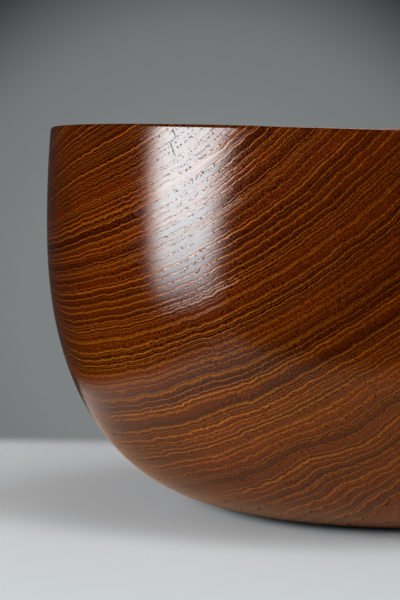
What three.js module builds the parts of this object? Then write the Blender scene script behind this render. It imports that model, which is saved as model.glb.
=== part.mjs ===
// Turned teak bowl, made from one block of solid wood. Millimetres, +Z up.
// The origin is the centre of the base, on the surface that the bowl stands on.
import * as THREE from "three";

// Outside form
const widestRadius = 140;
const widestHeight = 112; // above this height the wall leans back in
const lipHeight = 152; // mean height, before the wood moved
const lipDrawIn = 1.8; // how far the lip stands inside the widest radius
const footRadius = 45; // outer edge of the standing ring
const fullnessOut = 2.63; // exponent of the bilge's curve across: 2 is an ellipse, more is fuller
const fullnessUp = 2.25; // exponent of the same curve upwards

// Wall and floor
const wallAtLip = 8;
const wallAtBase = 18;
const dishRadius = 70; // the floor inside this radius is one shallow dish
const outerEdgeRadius = 1.2; // rounding of the lip's outer edge
const innerEdgeRadius = 2; // rounding of the lip's inner edge, eased more for the hand

// Underside
const ringWidth = 7; // the standing ring, a flat band round the recess
const recessDepth = 4.5;

// Wood movement: the lip rises over the end grain and sinks over the side grain
const lipLift = 2;
const grainAzimuth = 45; // degrees from +X to the log's axis, which lies level in the bowl
const liftGrowth = 2; // exponent by which the lift grows with the height

// Facets
const facetsRound = 80;
const bilgeSteps = 16;
const upperWallSteps = 3;
const edgeSteps = 3;
const floorSteps = 3;

const teak = new THREE.MeshStandardMaterial({ color: "#6b3211", roughness: 0.3, metalness: 0 });

const quarterTurn = Math.PI / 2;

const mix = (from, to, share) => from + (to - from) * share;

// Evenly spaced shares from just above 0 up to 1.
const shares = (count) => Array.from({ length: count }, (_, step) => (step + 1) / count);

const polar = (centre, radius, angle) =>
  new THREE.Vector2(Math.cos(angle), Math.sin(angle)).multiplyScalar(radius).add(centre);

// An arc about a centre, with both of its ends.
const arc = (centre, radius, from, to) =>
  [0, ...shares(edgeSteps)].map((share) => polar(centre, radius, mix(from, to, share)));

// The outside's bilge: a quarter of a superellipse from the standing ring to the widest point.
// Each point comes with the angle of its outward normal, measured up from level.
function bilgePoint(share) {
  const reach = widestRadius - footRadius;
  const out = Math.sin(share * quarterTurn) ** (2 / fullnessOut);
  const below = Math.cos(share * quarterTurn) ** (2 / fullnessUp);
  const across = (fullnessOut * out ** (fullnessOut - 1)) / reach;
  const down = (fullnessUp * below ** (fullnessUp - 1)) / widestHeight;
  return {
    at: new THREE.Vector2(footRadius + reach * out, widestHeight * (1 - below)),
    normal: -Math.atan2(down, across),
  };
}

// The outside above the widest point, which draws in along a parabola.
function upperPoint(height) {
  const share = (height - widestHeight) / (lipHeight - widestHeight);
  return {
    at: new THREE.Vector2(widestRadius - lipDrawIn * share ** 2, height),
    normal: Math.atan((2 * lipDrawIn * share) / (lipHeight - widestHeight)),
  };
}

// The wall is thickest at the base and thins steadily along the curve up to the lip.
function wallAt(height) {
  return mix(wallAtBase, wallAtLip, Math.sin((height / lipHeight) * quarterTurn));
}

const insideOf = ({ at, normal }) => polar(at, -wallAt(at.y), normal);

// The lip: both edges rounded, with a level land between them.
function lip() {
  const lean = upperPoint(lipHeight).normal;
  const outerRound = Math.min(outerEdgeRadius, wallAtLip / 2);
  const innerRound = Math.min(innerEdgeRadius, wallAtLip / 2);
  const outerEnd = upperPoint(lipHeight - outerRound * (1 - Math.sin(lean)));
  const innerEnd = insideOf(upperPoint(lipHeight - innerRound * (1 + Math.sin(lean))));
  const outerCentre = new THREE.Vector2(
    outerEnd.at.x - outerRound * Math.cos(lean),
    lipHeight - outerRound,
  );
  const innerCentre = new THREE.Vector2(
    innerEnd.x + innerRound * Math.cos(lean),
    lipHeight - innerRound,
  );
  return {
    startHeight: outerEnd.at.y,
    points: [
      ...arc(outerCentre, outerRound, lean, quarterTurn),
      ...arc(innerCentre, innerRound, quarterTurn, 2 * quarterTurn + lean),
    ],
  };
}

// The floor: level at the axis, and it meets the wall without a crease.
function dish(edge, slope) {
  return shares(floorSteps).map((share) => {
    const radius = edge.x * (1 - share);
    const rise = (slope * (edge.x ** 2 - radius ** 2)) / (2 * edge.x);
    return new THREE.Vector2(radius, edge.y - rise);
  });
}

// The recess under the base, with a coved edge up from the standing ring.
function recess() {
  const radius = footRadius - ringWidth;
  return [
    new THREE.Vector2(0, recessDepth),
    ...arc(new THREE.Vector2(radius - recessDepth, 0), recessDepth, quarterTurn, 0),
  ];
}

// The whole section of the wood, from the axis underneath, round the lip, to the axis inside.
function section() {
  const { startHeight, points } = lip();
  const bilge = [0, ...shares(bilgeSteps)].map(bilgePoint);
  const upper = shares(upperWallSteps).map((s) => upperPoint(mix(widestHeight, startHeight, s)));
  const walls = [...bilge, ...upper.slice(0, -1)];
  const insideWalls = walls.filter(({ at }) => at.x >= dishRadius);
  const lowest = insideWalls[0];
  return [
    ...recess(),
    ...walls.map(({ at }) => at),
    ...points,
    ...insideWalls.map(insideOf).reverse(),
    ...dish(insideOf(lowest), Math.tan(lowest.normal + quarterTurn)),
  ];
}

// Raises the wall over the end grain and lowers it over the side grain. The base stays flat.
function moveWood(geometry) {
  const position = geometry.getAttribute("position");
  const grain = THREE.MathUtils.degToRad(grainAzimuth);
  for (let i = 0; i < position.count; i++) {
    const height = position.getZ(i);
    const azimuth = Math.atan2(position.getY(i), position.getX(i));
    const lift = lipLift * (height / lipHeight) ** liftGrowth;
    position.setZ(i, height + lift * Math.cos(2 * (azimuth - grain)));
  }
  geometry.computeVertexNormals();
}

function turnedBowl() {
  const geometry = new THREE.LatheGeometry(section(), facetsRound);
  geometry.rotateX(quarterTurn);
  moveWood(geometry);
  const mesh = new THREE.Mesh(geometry, teak);
  mesh.name = "bowl";
  return mesh;
}

const turnedWare = new THREE.Group();
turnedWare.add(turnedBowl());

export default turnedWare;
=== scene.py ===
"""A deep salad bowl turned from one block of teak, on a pale table in soft studio light.

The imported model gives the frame, in metres. The bowl is spun again here from the same section, with a
finer surface, and stands for the CAD node. Its wood is a solid pattern: growth rings about a pith that
lies level above the bowl, so end grain, side grain, hollow and foot all show the same block.
"""

import logging
import math
from dataclasses import dataclass
from enum import Enum

import bpy
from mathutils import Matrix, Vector


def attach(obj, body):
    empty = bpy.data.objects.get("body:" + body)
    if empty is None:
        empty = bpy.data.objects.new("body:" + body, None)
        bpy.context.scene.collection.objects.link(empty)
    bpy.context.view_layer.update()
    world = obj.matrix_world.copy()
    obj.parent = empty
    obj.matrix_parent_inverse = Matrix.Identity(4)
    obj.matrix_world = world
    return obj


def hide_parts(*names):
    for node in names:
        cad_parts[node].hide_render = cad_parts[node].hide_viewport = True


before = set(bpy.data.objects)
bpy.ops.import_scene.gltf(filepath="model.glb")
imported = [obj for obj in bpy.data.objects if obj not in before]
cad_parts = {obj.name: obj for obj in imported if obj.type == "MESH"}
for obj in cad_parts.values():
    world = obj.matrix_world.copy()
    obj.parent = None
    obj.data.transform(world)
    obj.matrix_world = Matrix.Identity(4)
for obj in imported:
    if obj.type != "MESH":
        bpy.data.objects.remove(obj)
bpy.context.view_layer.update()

MM = 0.001
QUARTER_TURN = math.pi / 2
# Watts for each square metre of a lamp's face and each unit of its radiance
WATTS_PER_RADIANCE = 3.0
# Points of a mesh this close are joined to one, in mm
WELD_GAP = 0.001
# A point this close to a place, in mm, is taken as lying there
NEAR = 0.01
# A mix node's inputs share their names, so they are picked by number: two numbers, or two colours
NUMBER_A, NUMBER_B = 2, 3
COLOUR_A, COLOUR_B = 6, 7
MIXED_COLOUR = 2
# Nearly all of a noise lies between these two values
NOISE_LOW, NOISE_HIGH = 0.3, 0.7

log = logging.getLogger("teak_bowl")


def linear(colour: str) -> tuple[float, float, float, float]:
    """Turns an sRGB hex colour into the linear colour that a shader takes.

    Args:
        colour: Six hex digits after a hash sign, such as "#6b3211".

    Returns:
        Red, green, blue and an alpha of 1.
    """
    parts = [int(colour[i:i + 2], 16) / 255 for i in (1, 3, 5)]
    return tuple(c / 12.92 if c <= 0.04045 else ((c + 0.055) / 1.055) ** 2.4 for c in parts) + (1.0,)


def add_node(tree: bpy.types.NodeTree, kind: str, sockets: dict | tuple = (), **settings) -> bpy.types.Node:
    """Adds a node, sets its own properties, and feeds its inputs.

    Args:
        tree: The node tree that takes the node.
        kind: The node's type, such as "ShaderNodeMath".
        sockets: What goes into its inputs, by name or in order. A node stands for its first output.
        settings: The node's own properties, such as operation.

    Returns:
        The new node.
    """
    node = tree.nodes.new(kind)
    for name, value in settings.items():
        setattr(node, name, value)
    named = sockets if isinstance(sockets, dict) else dict(enumerate(sockets))
    for name, value in named.items():
        source = value.outputs[0] if isinstance(value, bpy.types.Node) else value
        if isinstance(source, bpy.types.NodeSocket):
            tree.links.new(source, node.inputs[name])
        else:
            node.inputs[name].default_value = source
    return node


def new_material(name: str) -> tuple[bpy.types.Material, bpy.types.NodeTree, bpy.types.Node]:
    """Makes an empty node material.

    Args:
        name: The material's name.

    Returns:
        The material, its node tree and its output node.
    """
    material = bpy.data.materials.new(name)
    material.use_nodes = True
    material.node_tree.nodes.clear()
    return material, material.node_tree, add_node(material.node_tree, "ShaderNodeOutputMaterial")


def towards(azimuth: float, elevation: float) -> Vector:
    """Finds a direction from the bowl.

    Args:
        azimuth: Degrees from the camera's side towards the right.
        elevation: Degrees above level.

    Returns:
        The direction, of length 1.
    """
    turn, tilt = math.radians(azimuth), math.radians(elevation)
    return Vector((math.sin(turn) * math.cos(tilt), -math.cos(turn) * math.cos(tilt), math.sin(tilt)))


def deselect_all() -> None:
    """Leaves edit mode and deselects every object."""
    if bpy.context.object and bpy.context.object.mode != "OBJECT":
        bpy.ops.object.mode_set(mode="OBJECT")
    bpy.ops.object.select_all(action="DESELECT")


@dataclass(frozen=True)
class Swelling:
    """A place in the log where the growth rings lie a little nearer to the pith, or further from it."""

    lift: float
    across: float
    height: float
    spread: float


@dataclass(frozen=True)
class Check:
    """A hairline drying crack in the wall, between two points given by azimuth, radius and height."""

    start: tuple[float, float, float]
    end: tuple[float, float, float]

    def ends(self) -> tuple[Vector, Vector]:
        """Both ends in metres."""
        places = ((math.radians(turn), radius, height) for turn, radius, height in (self.start, self.end))
        return tuple(Vector((radius * math.cos(turn), radius * math.sin(turn), height)) * MM
                     for turn, radius, height in places)


@dataclass(frozen=True)
class Wave:
    """One size of undulation that the growth rings follow, and how far across the rings it stays alike."""

    length: float
    height: float
    layers: float
    likeness: float


@dataclass(frozen=True)
class Quiet:
    """A stretch of the log along which the figure's contrast grows, from its least to full."""

    axis: str
    start: float
    end: float
    least: float


@dataclass(frozen=True)
class LineFamily:
    """One family of pale lines, at uneven distances round a mean one.

    A chance from 0 to 1 sets each line's strength, and another where it lies from thinnest to thickest.
    """

    spacing: float
    unevenness: float
    thickness: float
    faint_below: float
    full_above: float
    weakest: float
    strongest: float
    thinnest: float = 0.75
    thickest: float = 1.25


@dataclass(frozen=True)
class OiledTeak:
    """Plantation teak, turned, sanded fine and rubbed with oil to a satin shine.

    That gives the eye dark red-brown latewood, a thin orange line of soft tissue and open pores at the
    start of each year's ring, and a clear film that mirrors a lamp softly over all of it.
    Sizes are in millimetres.
    """

    latewood: str = "#200600"
    heartwood: str = "#401500"
    earlywood: str = "#612202"
    soft_tissue: str = "#9a510d"
    pore_shadow: str = "#140500"
    grain_azimuth: float = 45.0
    pith_across: float = 80.0
    pith_height: float = 248.0
    arc_radius: float = 200.0
    # The first three turn the whole figure, and the other four give it single bends.
    swellings: tuple[Swelling, ...] = (
        Swelling(33.0, 46.0, 81.0, 71.0),
        Swelling(40.0, 115.0, 58.0, 31.0),
        Swelling(8.5, 35.0, 165.0, 29.0),
        Swelling(-3.5, -71.0, -5.0, 20.0),
        Swelling(1.8, -32.0, 66.0, 11.0),
        Swelling(1.3, -62.0, 36.0, 8.0),
        Swelling(-1.8, -84.5, 43.0, 9.0),
    )
    waves: tuple[Wave, ...] = (
        Wave(46.0, 1.6, 0.0, 180.0),
        Wave(12.0, 1.25, 1.0, 24.0),
        Wave(4.2, 1.15, 1.0, 6.0),
        Wave(1.6, 0.4, 0.0, 1.5),
    )
    # A wave is this many times longer along the log than round it.
    wave_stretch: float = 8.0
    # Spells of wide and of narrow rings
    spells_per_mm: float = 0.08
    spell_height: float = 5.0
    year_lines: LineFamily = LineFamily(2.35, 0.6, 0.19, 0.0, 0.9, 0.33, 1.0)
    close_lines: LineFamily = LineFamily(1.1, 0.8, 0.13, 0.2, 1.0, 0.0, 0.7)
    checks: tuple[Check, ...] = (
        Check((-124.0, 138.4, 152.1), (-123.4, 138.5, 149.4)),
        Check((-124.4, 138.7, 147.5), (-123.3, 139.0, 142.7)),
    )
    check_half_width: float = 0.3
    check_strength: float = 0.6
    # The figure is full in the middle of the wall, and quieter at both sides of the log and at the foot.
    quiet_parts: tuple[Quiet, ...] = (
        Quiet("Y", -92.0, -50.0, 0.5),
        Quiet("Y", 62.0, 14.0, 0.6),
        Quiet("Z", 45.0, 100.0, 0.55),
    )
    # Painted light: the bilge is painted lighter, most in blue, for the light that the pale table throws up
    # at it. These give how much lighter it makes red, green and blue.
    bounce_paint_height: float = 52.0
    bounce_paint_spread: float = 25.0
    bounce_paint_gain: tuple[float, float, float, float] = (1.46, 1.84, 1.9, 1.0)
    # Within a year the body starts a little lighter and darkens just before the next line.
    early_reach: float = 1.4
    early_lift: float = 0.06
    late_reach: tuple[float, float] = (-1.3, -0.1)
    late_drop: float = 0.19
    bands_per_mm: float = 0.15
    band_tones: tuple[float, float] = (0.23, 0.55)
    cloud_size: tuple[float, float, float] = (60.0, 25.0, 200.0)
    cloud_swing: float = 0.14
    pore_spacing: float = 0.85
    pore_length: float = 9.0
    # Pores are widest in a belt just past a year's line. Their reach is a share of the spacing.
    belt_offset: float = 0.3
    belt_spread: float = 0.45
    pore_reach: tuple[float, float] = (0.14, 0.43)
    pore_darkness: float = 0.7
    pore_dullness: float = 1.1
    # Real fibres are far finer, and are drawn this coarse so that they show.
    fibre_width: float = 0.45
    fibre_length: float = 6.0
    fibre_layers: float = 2.0
    speckle_swing: float = 3.8
    # The fibres break the pale lines into beads: from this span of the noise to this span of strength.
    bead_noise: tuple[float, float] = (0.3, 0.6)
    bead_strength: tuple[float, float] = (0.3, 1.15)
    # The relief's full height, and the shares of it that fibres stand up and that lines and pores lie deep
    relief: float = 0.08
    fibre_share: float = 0.33
    line_share: float = 0.29
    pore_share: float = 0.25
    # A film of oil, with lines a little duller than the rest
    ior: float = 1.37
    specular: float = 0.5
    roughness: float = 0.09
    line_roughness: float = 0.03

    def _wood_place(self, tree: bpy.types.NodeTree) -> bpy.types.Node:
        """Adds the place in the log: along it, across it and up, in millimetres.

        Args:
            tree: The material's node tree.

        Returns:
            The mapping node.
        """
        place = add_node(tree, "ShaderNodeTexCoord")
        return add_node(tree, "ShaderNodeMapping", {
            "Vector": place.outputs["Object"],
            "Rotation": (0.0, 0.0, -math.radians(self.grain_azimuth)),
            "Scale": (1 / MM, 1 / MM, 1 / MM),
        })

    def _bell(self, tree: bpy.types.NodeTree, value: bpy.types.NodeSocket | bpy.types.Node,
              spread: float | bpy.types.Node) -> bpy.types.Node:
        """Turns a distance into a soft mask that is 1 at a distance of nought.

        Args:
            tree: The material's node tree.
            value: The distance.
            spread: The distance at which the mask has fallen to about a third.

        Returns:
            The mask.
        """
        share = add_node(tree, "ShaderNodeMath", (value, spread), operation="DIVIDE")
        square = add_node(tree, "ShaderNodeMath", (share, 2.0), operation="POWER")
        fall = add_node(tree, "ShaderNodeMath", (square, -1.0), operation="MULTIPLY")
        return add_node(tree, "ShaderNodeMath", (fall,), operation="EXPONENT")

    def _mottle(self, tree: bpy.types.NodeTree, place: bpy.types.Node, size: tuple[float, float, float],
                layers: float = 1.0) -> bpy.types.Node:
        """Adds a soft mottle whose grains have the given size along each axis.

        Args:
            tree: The material's node tree.
            place: The vector that it reads, in millimetres.
            size: Size of a grain in millimetres.
            layers: How many finer layers it has.

        Returns:
            The mottle.
        """
        scale = tuple(1 / length for length in size)
        scaled = add_node(tree, "ShaderNodeVectorMath", (place, scale), operation="MULTIPLY")
        return add_node(tree, "ShaderNodeTexNoise", {"Vector": scaled, "Scale": 1.0, "Detail": layers})

    def _pith_distance(self, tree: bpy.types.NodeTree, place: bpy.types.Node) -> bpy.types.Node:
        """Works out how far each point of the wood lies from the pith, with the log's swellings.

        Args:
            tree: The material's node tree.
            place: The place in the log.

        Returns:
            The distance in millimetres.
        """
        section = add_node(tree, "ShaderNodeVectorMath", (place, (0.0, 1.0, 1.0)), operation="MULTIPLY")
        pith = (0.0, self.pith_across, self.pith_height)
        from_pith = add_node(tree, "ShaderNodeVectorMath", (section, pith), operation="DISTANCE")
        radius = from_pith.outputs["Value"]
        for swelling in self.swellings:
            centre = (0.0, swelling.across, swelling.height)
            away = add_node(tree, "ShaderNodeVectorMath", (section, centre), operation="DISTANCE")
            bell = self._bell(tree, away.outputs["Value"], swelling.spread * math.sqrt(2))
            radius = add_node(tree, "ShaderNodeMath", (
                bell, swelling.lift, radius), operation="MULTIPLY_ADD")
        return radius

    def _rings(self, tree: bpy.types.NodeTree,
               place: bpy.types.Node) -> tuple[bpy.types.Node, bpy.types.Node]:
        """Lets the growth rings wander, so that kinks repeat from one ring to the next.

        Args:
            tree: The material's node tree.
            place: The place in the log.

        Returns:
            The ring radius in millimetres, and the vector of arc about the pith, radius and length.
        """
        radius = self._pith_distance(tree, place)
        parts = add_node(tree, "ShaderNodeSeparateXYZ", (place,))
        side = add_node(tree, "ShaderNodeMath", (
            parts.outputs["Y"], self.pith_across), operation="SUBTRACT")
        below = add_node(tree, "ShaderNodeMath", (
            self.pith_height, parts.outputs["Z"]), operation="SUBTRACT")
        angle = add_node(tree, "ShaderNodeMath", (side, below), operation="ARCTAN2")
        arc = add_node(tree, "ShaderNodeMath", (angle, self.arc_radius), operation="MULTIPLY")
        flow = add_node(tree, "ShaderNodeCombineXYZ", (arc, radius, parts.outputs["X"]))
        for wave in self.waves:
            size = (wave.length, wave.likeness, self.wave_stretch * wave.length)
            ripple = self._mottle(tree, flow, size, wave.layers)
            centred = add_node(tree, "ShaderNodeMath", (ripple, 0.5), operation="SUBTRACT")
            radius = add_node(tree, "ShaderNodeMath", (
                centred, wave.height, radius), operation="MULTIPLY_ADD")
        spells = add_node(tree, "ShaderNodeTexNoise", {"W": radius, "Scale": self.spells_per_mm},
                          noise_dimensions="1D")
        centred = add_node(tree, "ShaderNodeMath", (spells, 0.5), operation="SUBTRACT")
        uneven = add_node(tree, "ShaderNodeMath", (
            centred, self.spell_height, radius), operation="MULTIPLY_ADD")
        return uneven, flow

    def _lines(self, tree: bpy.types.NodeTree, radius: bpy.types.Node,
               family: LineFamily) -> tuple[bpy.types.Node, bpy.types.Node]:
        """Draws one pale line for each ring, at uneven distances and each with its own strength.

        Args:
            tree: The material's node tree.
            radius: The ring radius in millimetres.
            family: What the lines are like.

        Returns:
            The lines' mask, and the signed distance from the nearest one.
        """
        count = add_node(tree, "ShaderNodeMath", (radius, family.spacing), operation="DIVIDE")
        cell = add_node(tree, "ShaderNodeTexVoronoi", {
            "W": count, "Scale": 1.0, "Randomness": family.unevenness}, voronoi_dimensions="1D", feature="F1")
        offset = add_node(tree, "ShaderNodeMath", (count, cell.outputs["W"]), operation="SUBTRACT")
        away = add_node(tree, "ShaderNodeMath", (offset, family.spacing), operation="MULTIPLY")
        chance = add_node(tree, "ShaderNodeSeparateXYZ", (cell.outputs["Color"],))
        breadth = add_node(tree, "ShaderNodeMapRange", {
            "Value": chance.outputs["Y"], "To Min": family.thinnest * family.thickness,
            "To Max": family.thickest * family.thickness})
        strength = add_node(tree, "ShaderNodeMapRange", {
            "Value": chance.outputs["X"], "From Min": family.faint_below, "From Max": family.full_above,
            "To Min": family.weakest, "To Max": family.strongest})
        return add_node(tree, "ShaderNodeMath", (
            self._bell(tree, away, breadth), strength), operation="MULTIPLY"), away

    def _pores(self, tree: bpy.types.NodeTree, place: bpy.types.Node,
               near: bpy.types.Node) -> bpy.types.Node:
        """Adds the open vessels, widest past the lines: dots on end grain, short grooves on side grain.

        Args:
            tree: The material's node tree.
            place: The place in the log.
            near: Signed distance from the nearest year line.

        Returns:
            The mask of the pores.
        """
        size = (1 / self.pore_length, 1 / self.pore_spacing, 1 / self.pore_spacing)
        scaled = add_node(tree, "ShaderNodeVectorMath", (place, size), operation="MULTIPLY")
        cells = add_node(tree, "ShaderNodeTexVoronoi", {"Vector": scaled, "Scale": 1.0, "Randomness": 1.0})
        past = add_node(tree, "ShaderNodeMath", (near, self.belt_offset), operation="SUBTRACT")
        least, most = self.pore_reach
        reach = add_node(tree, "ShaderNodeMapRange", {
            "Value": self._bell(tree, past, self.belt_spread), "To Min": least, "To Max": most})
        inner = add_node(tree, "ShaderNodeMath", (reach, 0.5), operation="MULTIPLY")
        return add_node(tree, "ShaderNodeMapRange", {
            "Value": cells.outputs["Distance"], "From Min": reach, "From Max": inner})

    def _cracks(self, tree: bpy.types.NodeTree) -> bpy.types.Node:
        """Adds the hairline checks near the lip.

        Args:
            tree: The material's node tree.

        Returns:
            The mask of the cracks.
        """
        place = add_node(tree, "ShaderNodeTexCoord").outputs["Object"]
        mask = None
        for check in self.checks:
            start, end = check.ends()
            run = end - start
            from_start = add_node(tree, "ShaderNodeVectorMath", (place, tuple(start)), operation="SUBTRACT")
            dot = add_node(tree, "ShaderNodeVectorMath", (from_start, tuple(run)), operation="DOT_PRODUCT")
            share = add_node(tree, "ShaderNodeMath", (dot.outputs["Value"], run.length_squared),
                             operation="DIVIDE", use_clamp=True)
            nearest = add_node(tree, "ShaderNodeVectorMath", {
                0: tuple(run), "Scale": share}, operation="SCALE")
            away = add_node(tree, "ShaderNodeVectorMath", (from_start, nearest), operation="DISTANCE")
            line = add_node(tree, "ShaderNodeMapRange", {
                "Value": away.outputs["Value"], "From Min": self.check_half_width * MM, "From Max": 0.0,
                "To Max": self.check_strength})
            mask = line if mask is None else add_node(
                tree, "ShaderNodeMath", (mask, line), operation="MAXIMUM")
        return mask

    def _clarity(self, tree: bpy.types.NodeTree, place: bpy.types.Node) -> bpy.types.Node:
        """Says how plainly the figure shows, which is less in the quiet parts.

        Args:
            tree: The material's node tree.
            place: The place in the log.

        Returns:
            The contrast, 1 where it is full.
        """
        parts = add_node(tree, "ShaderNodeSeparateXYZ", (place,))
        clarity = None
        for quiet in self.quiet_parts:
            gain = add_node(tree, "ShaderNodeMapRange", {
                "Value": parts.outputs[quiet.axis], "From Min": quiet.start, "From Max": quiet.end,
                "To Min": quiet.least, "To Max": 1.0})
            clarity = gain if clarity is None else add_node(
                tree, "ShaderNodeMath", (clarity, gain), operation="MULTIPLY")
        return clarity

    def _bounce_paint(self, tree: bpy.types.NodeTree, place: bpy.types.Node) -> bpy.types.Node:
        """Finds the bilge, which is painted lighter for the light that the pale table throws up at it.

        Args:
            tree: The material's node tree.
            place: The place in the log.

        Returns:
            The mask of the painted light.
        """
        parts = add_node(tree, "ShaderNodeSeparateXYZ", (place,))
        away = add_node(tree, "ShaderNodeMath", (
            parts.outputs["Z"], self.bounce_paint_height), operation="SUBTRACT")
        return self._bell(tree, away, self.bounce_paint_spread)

    def _tone(self, tree: bpy.types.NodeTree, radius: bpy.types.Node, flow: bpy.types.Node,
              away: bpy.types.Node, speckle: bpy.types.Node) -> bpy.types.Node:
        """Makes the body's tone: each year starts mid brown and is darkest just before the next line.

        Args:
            tree: The material's node tree.
            radius: The ring radius in millimetres.
            flow: The vector of arc, radius and length.
            away: Signed distance from the nearest year line.
            speckle: The fibres' own lightness, about nought.

        Returns:
            The tone from 0, dark, to 1, light.
        """
        early = add_node(tree, "ShaderNodeMapRange", {
            "Value": away, "From Min": self.early_reach, "From Max": 0.0,
            "To Min": 0.0, "To Max": self.early_lift})
        late_start, late_end = self.late_reach
        late = add_node(tree, "ShaderNodeMapRange", {
            "Value": away, "From Min": late_start, "From Max": late_end,
            "To Min": 0.0, "To Max": -self.late_drop})
        after = add_node(tree, "ShaderNodeMath", (away, 0.0), operation="GREATER_THAN")
        season = add_node(tree, "ShaderNodeMix", {"Factor": after, NUMBER_A: late, NUMBER_B: early})
        bands = add_node(tree, "ShaderNodeTexNoise", {
            "W": radius, "Scale": self.bands_per_mm, "Detail": 1.0}, noise_dimensions="1D")
        darkest, lightest = self.band_tones
        broad = add_node(tree, "ShaderNodeMapRange", {
            "Value": bands, "From Min": NOISE_LOW, "From Max": NOISE_HIGH,
            "To Min": darkest, "To Max": lightest})
        clouds = add_node(tree, "ShaderNodeMapRange", {
            "Value": self._mottle(tree, flow, self.cloud_size),
            "From Min": NOISE_LOW, "From Max": NOISE_HIGH,
            "To Min": -self.cloud_swing, "To Max": self.cloud_swing})
        tone = add_node(tree, "ShaderNodeMath", (season, broad), operation="ADD")
        tone = add_node(tree, "ShaderNodeMath", (tone, clouds), operation="ADD")
        return add_node(tree, "ShaderNodeMath", (tone, speckle), operation="ADD", use_clamp=True)

    def material(self) -> bpy.types.Material:
        """Builds the material.

        Returns:
            The material.
        """
        material, tree, output = new_material("oiled_teak")
        place = self._wood_place(tree)
        radius, flow = self._rings(tree, place)
        years, away = self._lines(tree, radius, self.year_lines)
        between, _ = self._lines(tree, radius, self.close_lines)
        grain = (self.fibre_length, self.fibre_width, self.fibre_width)
        fibres = self._mottle(tree, place, grain, self.fibre_layers)
        clarity = self._clarity(tree, place)

        beads = add_node(tree, "ShaderNodeMapRange", {
            "Value": fibres, "From Min": self.bead_noise[0], "From Max": self.bead_noise[1],
            "To Min": self.bead_strength[0], "To Max": self.bead_strength[1]})
        both = add_node(tree, "ShaderNodeMath", (years, between), operation="MAXIMUM")
        clear = add_node(tree, "ShaderNodeMath", (both, clarity), operation="MULTIPLY")
        lines = add_node(tree, "ShaderNodeMath", (clear, beads), operation="MULTIPLY", use_clamp=True)
        centred = add_node(tree, "ShaderNodeMath", (fibres, 0.5), operation="SUBTRACT")
        swing = add_node(tree, "ShaderNodeMath", (clarity, self.speckle_swing), operation="MULTIPLY")
        speckle = add_node(tree, "ShaderNodeMath", (centred, swing), operation="MULTIPLY")

        body = add_node(tree, "ShaderNodeValToRGB", (self._tone(tree, radius, flow, away, speckle),))
        body.color_ramp.elements[0].color = linear(self.latewood)
        body.color_ramp.elements[1].color = linear(self.earlywood)
        body.color_ramp.elements.new(0.5).color = linear(self.heartwood)
        lined = add_node(tree, "ShaderNodeMix", {
            "Factor": lines, COLOUR_A: body, COLOUR_B: linear(self.soft_tissue)}, data_type="RGBA")
        pores = self._pores(tree, place, away)
        holes = add_node(tree, "ShaderNodeMath", (pores, self._cracks(tree)), operation="MAXIMUM")
        # Painted light: round the bilge the body colour is multiplied lighter, for the light thrown up from
        # the table.
        bounce_painted = add_node(tree, "ShaderNodeMix", {
            "Factor": self._bounce_paint(tree, place), COLOUR_A: lined.outputs[MIXED_COLOUR],
            COLOUR_B: self.bounce_paint_gain}, data_type="RGBA", blend_type="MULTIPLY")
        # Painted shade: the pores and the checks are darkened towards the shade colour of an open pore.
        dark = add_node(tree, "ShaderNodeMath", (holes, self.pore_darkness), operation="MULTIPLY")
        holed = add_node(tree, "ShaderNodeMix", {
            "Factor": dark, COLOUR_A: bounce_painted.outputs[MIXED_COLOUR], COLOUR_B: linear(self.pore_shadow)},
            data_type="RGBA")

        rough = add_node(tree, "ShaderNodeMath", (
            lines, self.line_roughness, self.roughness), operation="MULTIPLY_ADD")
        shine = add_node(tree, "ShaderNodeMath", (
            holes, -self.pore_dullness, self.specular), operation="MULTIPLY_ADD", use_clamp=True)
        grooves = add_node(tree, "ShaderNodeMath", (lines, -self.line_share), operation="MULTIPLY")
        fibrous = add_node(tree, "ShaderNodeMath", (
            fibres, self.fibre_share, grooves), operation="MULTIPLY_ADD")
        height = add_node(tree, "ShaderNodeMath", (
            holes, -self.pore_share, fibrous), operation="MULTIPLY_ADD")
        bump = add_node(tree, "ShaderNodeBump", {
            "Height": height, "Strength": 1.0, "Distance": self.relief * MM})
        wood = add_node(tree, "ShaderNodeBsdfPrincipled", {
            "Base Color": holed.outputs[MIXED_COLOUR], "Roughness": rough, "Normal": bump, "IOR": self.ior,
            "Specular IOR Level": shine})
        tree.links.new(wood.outputs[0], output.inputs["Surface"])
        return material


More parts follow.
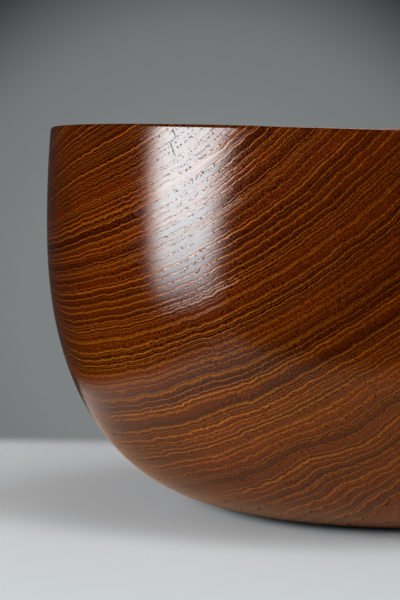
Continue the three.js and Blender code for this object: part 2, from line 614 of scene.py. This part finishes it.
@dataclass(frozen=True)
class MattLaminate:
    """White laminate with a matt face, which gives the eye a plain pale surface with no mirror in it.

    Sizes are in millimetres. What the bowl's oiled wall mirrors of it is a painted reflection: a warm colour
    of its own, warmer in front than at the left.
    """

    colour: str = "#e4ecf0"
    painted_reflection: str = "#ffd8b4"
    painted_reflection_left: str = "#fff0e4"
    # Where the painted reflection colour turns from the one in front to the one at the left
    reflection_left_turn: tuple[float, float] = (-125.0, -180.0)
    roughness: float = 0.7
    # Painted shade: the table is painted dark under the foot within the first distance from the axis. The
    # painted shade ends at the second distance, or, where the bowl mirrors it, at the third.
    painted_gap_shade: tuple[float, float] = (62.0, 75.0)
    mirrored_gap_shade: float = 92.0

    def material(self, half: Vector, centre: Vector, fade: float) -> bpy.types.Material:
        """Builds the material, which fades out at the edges as a table out of focus does.

        Args:
            half: Half the table's length and width, in metres.
            centre: The middle of the table.
            fade: Width of the soft edge, in metres.

        Returns:
            The material.
        """
        material, tree, output = new_material("matt_laminate")
        place = add_node(tree, "ShaderNodeTexCoord").outputs["Object"]
        inside = add_node(tree, "ShaderNodeVectorMath", (place, tuple(centre)), operation="SUBTRACT")
        folded = add_node(tree, "ShaderNodeVectorMath", (inside,), operation="ABSOLUTE")
        room = add_node(tree, "ShaderNodeVectorMath", (tuple(half), folded), operation="SUBTRACT")
        parts = add_node(tree, "ShaderNodeSeparateXYZ", (room,))
        nearest = add_node(tree, "ShaderNodeMath", (
            parts.outputs["X"], parts.outputs["Y"]), operation="MINIMUM")
        solid = add_node(tree, "ShaderNodeMapRange", {
            "Value": nearest, "From Min": 0.0, "From Max": fade}, interpolation_type="SMOOTHSTEP")
        path = add_node(tree, "ShaderNodeLightPath")
        # Painted reflection: glossy rays see the table in a warm painted colour, not in its own.
        across = add_node(tree, "ShaderNodeSeparateXYZ", (place,))
        leftward = add_node(tree, "ShaderNodeMapRange", {
            "Value": across.outputs["X"], "From Min": self.reflection_left_turn[0] * MM,
            "From Max": self.reflection_left_turn[1] * MM})
        painted_reflection_colour = add_node(tree, "ShaderNodeMix", {
            "Factor": leftward, COLOUR_A: linear(self.painted_reflection), COLOUR_B: linear(self.painted_reflection_left)},
            data_type="RGBA")
        tint = add_node(tree, "ShaderNodeMix", {
            "Factor": path.outputs["Is Glossy Ray"], COLOUR_A: linear(self.colour),
            COLOUR_B: painted_reflection_colour.outputs[MIXED_COLOUR]}, data_type="RGBA")
        # Painted shade: the table's colour is scaled towards black in the gap under the foot, and further out
        # in the bowl's mirror.
        from_axis = add_node(tree, "ShaderNodeVectorMath", (place,), operation="LENGTH")
        mirrored_shade_extra = (self.mirrored_gap_shade - self.painted_gap_shade[1]) * MM
        shade_end = add_node(tree, "ShaderNodeMath", (
            path.outputs["Is Glossy Ray"], mirrored_shade_extra, self.painted_gap_shade[1] * MM), operation="MULTIPLY_ADD")
        unshaded = add_node(tree, "ShaderNodeMapRange", {
            "Value": from_axis.outputs["Value"], "From Min": self.painted_gap_shade[0] * MM, "From Max": shade_end},
            interpolation_type="SMOOTHSTEP")
        shaded = add_node(tree, "ShaderNodeVectorMath", {
            0: tint.outputs[MIXED_COLOUR], "Scale": unshaded}, operation="SCALE")
        face = add_node(tree, "ShaderNodeBsdfPrincipled", {
            "Base Color": shaded, "Roughness": self.roughness})
        clear = add_node(tree, "ShaderNodeBsdfTransparent")
        mixed = add_node(tree, "ShaderNodeMixShader", (solid, clear, face))
        tree.links.new(mixed.outputs[0], output.inputs["Surface"])
        return material


@dataclass
class TurnedBowl:
    """The bowl, spun from its section.

    Sizes are in millimetres and degrees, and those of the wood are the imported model's.
    """

    widest_radius: float = 140.0
    widest_height: float = 112.0
    lip_height: float = 152.0
    lip_draw_in: float = 1.8
    foot_radius: float = 45.0
    fullness_out: float = 2.63
    fullness_up: float = 2.25
    wall_at_lip: float = 8.0
    wall_at_base: float = 18.0
    dish_radius: float = 70.0
    outer_edge_radius: float = 1.2
    inner_edge_radius: float = 2.0
    ring_width: float = 7.0
    recess_depth: float = 4.5
    lip_lift: float = 2.0
    lift_growth: float = 2.0
    ring_ease: float = 0.4
    steps_round: int = 256
    bilge_steps: int = 72
    upper_steps: int = 16
    edge_steps: int = 8
    floor_steps: int = 24
    smooth_below: float = 40.0
    finish: OiledTeak = OiledTeak()

    def _bilge_point(self, share: float) -> tuple[Vector, float]:
        """A point of the outside's bilge, a quarter of a superellipse.

        Args:
            share: How far along the curve, from 0 at the foot to 1 at the widest point.

        Returns:
            The point as radius and height, and the angle of its outward normal above level.
        """
        reach = self.widest_radius - self.foot_radius
        out = math.sin(share * QUARTER_TURN) ** (2 / self.fullness_out)
        below = math.cos(share * QUARTER_TURN) ** (2 / self.fullness_up) if share < 1 else 0.0
        across = self.fullness_out * out ** (self.fullness_out - 1) / reach
        down = self.fullness_up * below ** (self.fullness_up - 1) / self.widest_height
        at = Vector((self.foot_radius + reach * out, self.widest_height * (1 - below)))
        return at, -math.atan2(down, across)

    def _upper_point(self, height: float) -> tuple[Vector, float]:
        """A point of the outside above the widest height, where the wall draws in.

        Args:
            height: The point's height.

        Returns:
            The point as radius and height, and the angle of its outward normal above level.
        """
        rise = self.lip_height - self.widest_height
        share = (height - self.widest_height) / rise
        at = Vector((self.widest_radius - self.lip_draw_in * share ** 2, height))
        return at, math.atan(2 * self.lip_draw_in * share / rise)

    def _inside_of(self, at: Vector, normal: float) -> Vector:
        """The inside point that faces a point of the outside.

        Args:
            at: The outside point.
            normal: The angle of its outward normal.

        Returns:
            The inside point as radius and height.
        """
        thinning = math.sin(at.y / self.lip_height * QUARTER_TURN)
        wall = self.wall_at_base + (self.wall_at_lip - self.wall_at_base) * thinning
        return at - wall * Vector((math.cos(normal), math.sin(normal)))

    def _arc(self, centre: Vector, radius: float, start: float, end: float) -> list[Vector]:
        """Points of an arc with both of its ends.

        Args:
            centre: The arc's centre.
            radius: Its radius.
            start: The angle that it starts at.
            end: The angle that it ends at.

        Returns:
            The points as radius and height.
        """
        turns = [start + (end - start) * i / self.edge_steps for i in range(self.edge_steps + 1)]
        return [centre + radius * Vector((math.cos(t), math.sin(t))) for t in turns]

    def _lip(self) -> tuple[float, list[Vector]]:
        """The lip, with both edges rounded and a level land between them.

        Returns:
            The height that it starts at on the outside, and its points.
        """
        lean = self._upper_point(self.lip_height)[1]
        outer, inner = self.outer_edge_radius, self.inner_edge_radius
        outer_end = self._upper_point(self.lip_height - outer * (1 - math.sin(lean)))[0]
        inner_end = self._inside_of(*self._upper_point(self.lip_height - inner * (1 + math.sin(lean))))
        outer_centre = Vector((outer_end.x - outer * math.cos(lean), self.lip_height - outer))
        inner_centre = Vector((inner_end.x + inner * math.cos(lean), self.lip_height - inner))
        outer_arc = self._arc(outer_centre, outer, lean, QUARTER_TURN)
        inner_arc = self._arc(inner_centre, inner, QUARTER_TURN, 2 * QUARTER_TURN + lean)
        return outer_end.y, outer_arc + inner_arc

    def section(self) -> list[Vector]:
        """The section of the wood, from the axis underneath, round the lip, to the axis inside.

        Returns:
            The points as radius and height.
        """
        recess_radius = self.foot_radius - self.ring_width
        cove_centre = Vector((recess_radius - self.recess_depth, 0.0))
        cove = self._arc(cove_centre, self.recess_depth, QUARTER_TURN, 0.0)
        start_height, lip = self._lip()
        walls = [self._bilge_point(i / self.bilge_steps) for i in range(self.bilge_steps + 1)]
        rise = start_height - self.widest_height
        walls += [self._upper_point(self.widest_height + rise * i / self.upper_steps)
                  for i in range(1, self.upper_steps)]
        inner = [wall for wall in walls if wall[0].x >= self.dish_radius]
        edge = self._inside_of(*inner[0])
        slope = math.tan(inner[0][1] + QUARTER_TURN)
        radii = [edge.x * (1 - i / self.floor_steps) for i in range(1, self.floor_steps + 1)]
        dish = [Vector((r, edge.y - slope * (edge.x ** 2 - r ** 2) / (2 * edge.x))) for r in radii]
        inside = [self._inside_of(*wall) for wall in reversed(inner)]
        return [Vector((0.0, self.recess_depth))] + cove + [wall[0] for wall in walls] + lip + inside + dish

    def _spin(self) -> bpy.types.Object:
        """Lays a circle's points on the section, opens it on the axis and spins it once round.

        Returns:
            The spun object, with a sharp inner edge on its standing ring.
        """
        points = self.section()
        deselect_all()
        bpy.ops.mesh.primitive_circle_add(vertices=len(points), radius=self.widest_radius * MM)
        bowl = bpy.context.object
        for vertex, point in zip(bowl.data.vertices, points):
            vertex.co = Vector((point.x, 0.0, point.y)) * MM
        last = len(points) - 1
        for edge in bowl.data.edges:
            edge.select = set(edge.vertices) == {0, last}
        for vertex in bowl.data.vertices:
            vertex.select = False
        bpy.ops.object.mode_set(mode="EDIT")
        bpy.ops.mesh.select_mode(type="EDGE")
        bpy.ops.mesh.delete(type="EDGE_FACE")
        bpy.ops.mesh.select_all(action="SELECT")
        bpy.ops.mesh.spin(steps=self.steps_round, angle=2 * math.pi, center=(0, 0, 0), axis=(0, 0, 1))
        bpy.ops.mesh.select_all(action="SELECT")
        bpy.ops.mesh.remove_doubles(threshold=WELD_GAP * MM)
        bpy.ops.mesh.normals_make_consistent(inside=False)
        bpy.ops.object.mode_set(mode="OBJECT")
        return bowl

    def _ease_ring(self, bowl: bpy.types.Object) -> None:
        """Breaks the sharp inner edge of the standing ring, as a touch of sandpaper does.

        Args:
            bowl: The spun object.
        """
        radius = (self.foot_radius - self.ring_width) * MM
        points = bowl.data.vertices
        near = NEAR * MM
        at_edge = {v.index for v in points if abs(v.co.xy.length - radius) < near and abs(v.co.z) < near}
        for item in (*bowl.data.polygons, *bowl.data.edges, *points):
            item.select = False
        for edge in bowl.data.edges:
            edge.select = at_edge.issuperset(edge.vertices)
        bpy.ops.object.mode_set(mode="EDIT")
        bpy.ops.mesh.select_mode(type="EDGE")
        bpy.ops.mesh.bevel(offset=self.ring_ease * MM, segments=2, affect="EDGES")
        bpy.ops.object.mode_set(mode="OBJECT")

    def _move_wood(self, bowl: bpy.types.Object) -> None:
        """Raises the wall over the end grain and lowers it over the side grain, as drying did.

        Args:
            bowl: The spun object.
        """
        for vertex in bowl.data.vertices:
            azimuth = math.atan2(vertex.co.y, vertex.co.x) - math.radians(self.finish.grain_azimuth)
            share = vertex.co.z / (self.lip_height * MM)
            vertex.co.z += self.lip_lift * MM * share ** self.lift_growth * math.cos(2 * azimuth)

    def build(self) -> bpy.types.Object:
        """Builds the bowl and puts it in the CAD node's place.

        Returns:
            The bowl.
        """
        bowl = self._spin()
        self._ease_ring(bowl)
        self._move_wood(bowl)
        bowl.name = bowl.data.name = "turned_bowl"
        deselect_all()
        bowl.select_set(True)
        bpy.context.view_layer.objects.active = bowl
        bpy.ops.object.shade_smooth_by_angle(angle=math.radians(self.smooth_below))
        bowl.data.materials.append(self.finish.material())
        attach(bowl, "root")
        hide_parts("bowl")
        return bowl


@dataclass
class TableTop:
    """The pale table that the bowl stands on. Sizes are in millimetres."""

    left: float = -232.0
    right: float = 205.0
    front: float = -260.0
    back: float = 161.0
    soft_edge: float = 37.0
    squares: int = 8
    finish: MattLaminate = MattLaminate()

    def build(self) -> bpy.types.Object:
        """Builds the table top.

        Returns:
            The table top.
        """
        deselect_all()
        centre = Vector((self.left + self.right, self.front + self.back, 0.0)) * (MM / 2)
        half = Vector((self.right - self.left, self.back - self.front, 0.0)) * (MM / 2)
        bpy.ops.mesh.primitive_grid_add(x_subdivisions=self.squares, y_subdivisions=self.squares, size=1.0)
        table = bpy.context.object
        table.name = table.data.name = "table_top"
        for vertex in table.data.vertices:
            vertex.co = centre + Vector((vertex.co.x * 2 * half.x, vertex.co.y * 2 * half.y, 0.0))
        table.data.materials.append(self.finish.material(half, centre, self.soft_edge * MM))
        return table


class Reach(Enum):
    """What the light of a lamp falls on."""

    SHINE = "shows as a reflection"
    SHADE = "lights matt surfaces"


@dataclass(frozen=True)
class Softbox:
    """A lamp behind a square of white cloth. Sizes are in metres, angles in degrees."""

    name: str
    azimuth: float
    elevation: float
    distance: float
    width: float
    height: float
    radiance: float
    reach: Reach
    colour: str = "#ffffff"
    aim: tuple[float, float, float] = (0.0, 0.0, 0.08)

    def build(self) -> bpy.types.Object:
        """Adds the lamp, turned to the point that it aims at.

        Returns:
            The lamp.
        """
        away = towards(self.azimuth, self.elevation)
        data = bpy.data.lights.new(self.name, "AREA")
        data.shape = "RECTANGLE"
        data.size, data.size_y = self.width, self.height
        data.energy = self.radiance * WATTS_PER_RADIANCE * self.width * self.height
        data.color = linear(self.colour)[:3]
        lamp = bpy.data.objects.new(self.name, data)
        lamp.location = Vector(self.aim) + away * self.distance
        lamp.rotation_euler = (-away).to_track_quat("-Z", "Y").to_euler()
        lamp.visible_camera = False
        lamp.visible_diffuse = self.reach is Reach.SHADE
        lamp.visible_glossy = self.reach is Reach.SHINE
        bpy.context.scene.collection.objects.link(lamp)
        return lamp


@dataclass(frozen=True)
class LampCloth:
    """White diffuser cloth, lit from behind.

    That gives the eye a bright square that dims at both sides, where it is warmer, and towards its foot.
    Each fade runs between two shares of the half width or half height, and the slants lean the side fades.
    """

    radiance: float = 27.5
    side_fade: tuple[float, float] = (0.66, 0.275)
    slant: float = 0.2
    back_fade: tuple[float, float] = (-0.995, -0.567)
    back_slant: float = 0.04
    foot_fade: tuple[float, float] = (-0.955, -0.03)
    middle: str = "#f1faff"
    edge: str = "#ffbe95"

    def material(self, half_width: float, half_height: float) -> bpy.types.Material:
        """Builds the material.

        Args:
            half_width: Half the cloth's width, in metres.
            half_height: Half its height, in metres.

        Returns:
            The material.
        """
        material, tree, output = new_material("lamp_cloth")
        place = add_node(tree, "ShaderNodeTexCoord").outputs["Object"]
        parts = add_node(tree, "ShaderNodeSeparateXYZ", (place,))
        fades = []
        for slant, (start, end) in ((-self.slant, self.side_fade), (self.back_slant, self.back_fade)):
            lean = slant * half_width / half_height
            beside = add_node(tree, "ShaderNodeMath", (
                parts.outputs["Y"], lean, parts.outputs["X"]), operation="MULTIPLY_ADD")
            fades.append(add_node(tree, "ShaderNodeMapRange", {
                "Value": beside, "From Min": start * half_width,
                "From Max": end * half_width}, interpolation_type="SMOOTHSTEP"))
        climb = add_node(tree, "ShaderNodeMapRange", {
            "Value": parts.outputs["Y"], "From Min": self.foot_fade[0] * half_height,
            "From Max": self.foot_fade[1] * half_height, "To Max": QUARTER_TURN})
        upward = add_node(tree, "ShaderNodeMath", (climb,), operation="SINE")
        sides = add_node(tree, "ShaderNodeMath", tuple(fades), operation="MULTIPLY")
        both = add_node(tree, "ShaderNodeMath", (sides, upward), operation="MULTIPLY")
        strength = add_node(tree, "ShaderNodeMath", (both, self.radiance), operation="MULTIPLY")
        tint = add_node(tree, "ShaderNodeMix", {
            "Factor": sides, COLOUR_A: linear(self.edge), COLOUR_B: linear(self.middle)}, data_type="RGBA")
        glow = add_node(tree, "ShaderNodeEmission", {
            "Color": tint.outputs[MIXED_COLOUR], "Strength": strength})
        tree.links.new(glow.outputs[0], output.inputs["Surface"])
        return material


@dataclass
class KeyLamp:
    """The softbox at the left whose reflection is the long highlight on the wall. Sizes are in metres."""

    azimuth: float = -65.0
    elevation: float = 2.4
    distance: float = 1.1
    width: float = 0.84
    height: float = 0.715
    aim: tuple[float, float, float] = (-0.075, -0.117, 0.125)
    finish: LampCloth = LampCloth()

    def build(self) -> bpy.types.Object:
        """Builds the lamp's face.

        Returns:
            The face.
        """
        deselect_all()
        away = towards(self.azimuth, self.elevation)
        bpy.ops.mesh.primitive_plane_add(size=1.0)
        face = bpy.context.object
        face.name = face.data.name = "key_lamp_face"
        for vertex in face.data.vertices:
            vertex.co = Vector((vertex.co.x * self.width, vertex.co.y * self.height, 0.0))
        face.location = Vector(self.aim) + away * self.distance
        face.rotation_euler = away.to_track_quat("Z", "Y").to_euler()
        face.data.materials.append(self.finish.material(self.width / 2, self.height / 2))
        face.visible_camera = face.visible_diffuse = face.visible_shadow = False
        return face


@dataclass
class GreyStudio:
    """The grey room: a pool of light on the backdrop behind the bowl, and dark walls round the rest.

    The pool is a list of distances from its centre, on a sphere of radius 1, with the grey seen there. The
    far wall is the darkest grey that the camera sees, and the fill is what lights matt surfaces.
    """

    centre: tuple[float, float, float] = (-0.091, 0.992, -0.084)
    pool: tuple[tuple[float, str], ...] = (
        (0.085, "#7c8081"),
        (0.1, "#787c7d"),
        (0.125, "#737778"),
        (0.135, "#6d7172"),
        (0.15, "#5d6162"),
        (0.172, "#383c3d"),
        (0.3, "#303233"),
        (0.7, "#151515"),
        (1.0, "#080808"),
    )
    far_wall: str = "#3a3d3e"
    fill: str = "#2c2d2e"

    def build(self) -> bpy.types.World:
        """Builds the world.

        Returns:
            The world.
        """
        world = bpy.data.worlds.new("grey_studio")
        world.use_nodes = True
        tree = world.node_tree
        tree.nodes.clear()
        output = add_node(tree, "ShaderNodeOutputWorld")
        direction = add_node(tree, "ShaderNodeTexCoord").outputs["Generated"]
        away = add_node(tree, "ShaderNodeVectorMath", (direction, self.centre), operation="DISTANCE")
        wall = add_node(tree, "ShaderNodeValToRGB", (away.outputs["Value"],))
        stops = wall.color_ramp.elements
        while len(stops) < len(self.pool):
            stops.new(1.0)
        for stop, (distance, colour) in zip(stops, self.pool):
            stop.position, stop.color = distance, linear(colour)
        path = add_node(tree, "ShaderNodeLightPath")
        shiny = add_node(tree, "ShaderNodeMath", (
            path.outputs["Is Glossy Ray"], path.outputs["Is Transmission Ray"]), operation="MAXIMUM")
        lit = add_node(tree, "ShaderNodeMix", {
            "Factor": shiny, COLOUR_A: linear(self.fill), COLOUR_B: wall}, data_type="RGBA")
        behind = add_node(tree, "ShaderNodeMix", {
            "Factor": 1.0, COLOUR_A: wall, COLOUR_B: linear(self.far_wall)},
            data_type="RGBA", blend_type="LIGHTEN")
        seen = add_node(tree, "ShaderNodeMix", {
            "Factor": path.outputs["Is Camera Ray"], COLOUR_A: lit.outputs[MIXED_COLOUR],
            COLOUR_B: behind.outputs[MIXED_COLOUR]}, data_type="RGBA")
        background = add_node(tree, "ShaderNodeBackground", {
            "Color": seen.outputs[MIXED_COLOUR], "Strength": 1.0})
        tree.links.new(background.outputs[0], output.inputs["Surface"])
        bpy.context.scene.world = world
        return world


@dataclass
class ViewCamera:
    """The camera, level with the lip, close, and turned left of the bowl's axis.

    Its distance and height are in metres, its lens and sensor in millimetres, and its turns in degrees.
    """

    distance: float = 0.85
    height: float = 0.15341
    lens: float = 124.65
    sensor: float = 36.0
    down: float = 4.805
    left: float = 5.259

    def build(self) -> bpy.types.Object:
        """Adds the camera and makes it the scene's own.

        Returns:
            The camera.
        """
        data = bpy.data.cameras.new("view_camera")
        data.sensor_width = self.sensor
        data.lens = self.lens
        camera = bpy.data.objects.new("view_camera", data)
        camera.location = (0.0, -self.distance, self.height)
        camera.rotation_euler = (QUARTER_TURN - math.radians(self.down), 0.0, math.radians(self.left))
        bpy.context.scene.collection.objects.link(camera)
        bpy.context.scene.camera = camera
        return camera


def main() -> None:
    """Builds the stage, the lights, the camera and the bowl."""
    logging.basicConfig(level=logging.INFO, format="%(name)s: %(message)s")
    bpy.context.scene.view_settings.view_transform = "Standard"
    ViewCamera().build()
    GreyStudio().build()
    KeyLamp().build()
    # Azimuth and elevation in degrees, then distance, width and height in metres, and the radiance
    lamps = (
        Softbox("left_bank", -48.0, 14.0, 1.3, 1.64, 0.56, 6.65, Reach.SHADE),
        Softbox("right_strip", 47.0, 30.0, 1.3, 0.36, 1.27, 8.1, Reach.SHADE),
        Softbox("top_lamp", 24.0, 68.0, 1.3, 0.58, 0.39, 1.82, Reach.SHADE),
        Softbox("back_lamp", 141.0, 56.0, 1.3, 0.58, 0.58, 3.66, Reach.SHADE),
        Softbox("back_left_lamp", -130.0, 13.0, 1.3, 0.84, 0.83, 1.5, Reach.SHADE),
        Softbox("table_bounce", 0.0, -90.0, 0.077, 1.6, 1.6, 0.5, Reach.SHADE, "#fff0d6"),
        Softbox("rim_shine", 157.0, 50.0, 1.3, 1.2, 0.6, 5.0, Reach.SHINE, "#ffdccc"),
    )
    for lamp in lamps:
        log.info("lamp %s, %s", lamp.build().name, lamp.reach.value)
    log.info("stage %s", TableTop().build().name)
    bowl = TurnedBowl().build()
    log.info("piece %s with %d faces", bowl.name, len(bowl.data.polygons))


if __name__ == "__main__":
    main()
